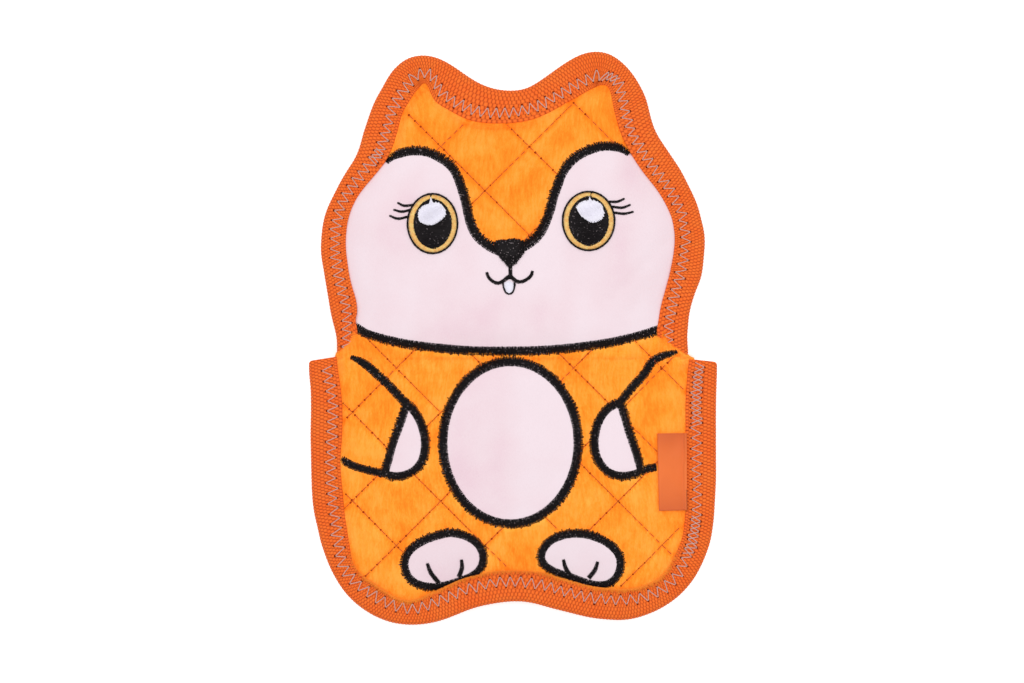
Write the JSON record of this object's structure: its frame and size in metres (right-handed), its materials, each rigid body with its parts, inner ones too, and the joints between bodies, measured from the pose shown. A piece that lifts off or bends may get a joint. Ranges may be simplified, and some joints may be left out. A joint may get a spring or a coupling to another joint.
{
  "type": "flat plush dog toy",
  "caption": "Flat quilted plush toy shaped as a sitting fox, with webbing binding, appliqué face, belly and paws, and a fold at the neck.",
  "frame": {"origin": "centre of the bounding box's bottom face, on the surface the toy lies on", "axes": "+Y from the feet to the ears, +Z out of the face, +X to the right of the picture"},
  "size_m": [0.1784, 0.2494, 0.0193],
  "materials": {
    "plush": "brushed short nap, quilted",
    "wadding": "matt, fibrous",
    "webbing": "ribbed woven tape, folded",
    "velboa": "very short smooth nap",
    "black_thread": "satin stitch",
    "gold_thread": "satin stitch",
    "white_thread": "satin stitch",
    "label": "woven satin ribbon, bare",
    "vinyl": "soft moulded vinyl",
    "reed_plastic": "moulded"
  },
  "bodies": {
    "torso": {"body_front_plush": "plush", "body_front_wadding": "wadding", "body_back_wadding": "wadding", "body_back_plush": "plush", "body_binding": "webbing", "belly_line": "black_thread", "belly_patch": "velboa", "squeaker_bulb": "vinyl", "squeaker_reed": "reed_plastic", "arm_line_left": "black_thread", "forearm_line_left": "black_thread", "paw_line_left": "black_thread", "paw_patch_left": "velboa", "foot_line_left": "black_thread", "foot_patch_left": "velboa", "toe_line_left_1": "black_thread", "toe_line_left_2": "black_thread", "arm_line_right": "black_thread", "forearm_line_right": "black_thread", "paw_line_right": "black_thread", "paw_patch_right": "velboa", "foot_line_right": "black_thread", "foot_patch_right": "velboa", "toe_line_right_1": "black_thread", "toe_line_right_2": "black_thread"},
    "head": {"head_front_plush": "plush", "head_front_wadding": "wadding", "head_back_wadding": "wadding", "head_back_plush": "plush", "head_binding": "webbing", "face_patch": "velboa", "brow_line_left": "black_thread", "brow_line_right": "black_thread", "neckline": "black_thread", "nose": "black_thread", "mouth": "black_thread", "tooth": "white_thread", "eye_line_left": "black_thread", "eye_ring_left": "gold_thread", "pupil_left": "black_thread", "glint_left": "white_thread", "lash_left_1": "black_thread", "lash_left_2": "black_thread", "lash_left_3": "black_thread", "eye_line_right": "black_thread", "eye_ring_right": "gold_thread", "pupil_right": "black_thread", "glint_right": "white_thread", "lash_right_1": "black_thread", "lash_right_2": "black_thread", "lash_right_3": "black_thread"},
    "tab": {"label": "label"}
  },
  "joints": [
    {"name": "neck_fold", "type": "hinge", "parent": "torso", "child": "head", "pos_m": [0, -0.0078, 0.008], "axis": [1, 0, 0], "range_deg": [-90, 60]},
    {"name": "label_flap", "type": "hinge", "parent": "torso", "child": "tab", "pos_m": [0.0762, -0.0581, 0.0121], "axis": [0, 1, 0], "range_deg": [0, 120]}
  ]
}
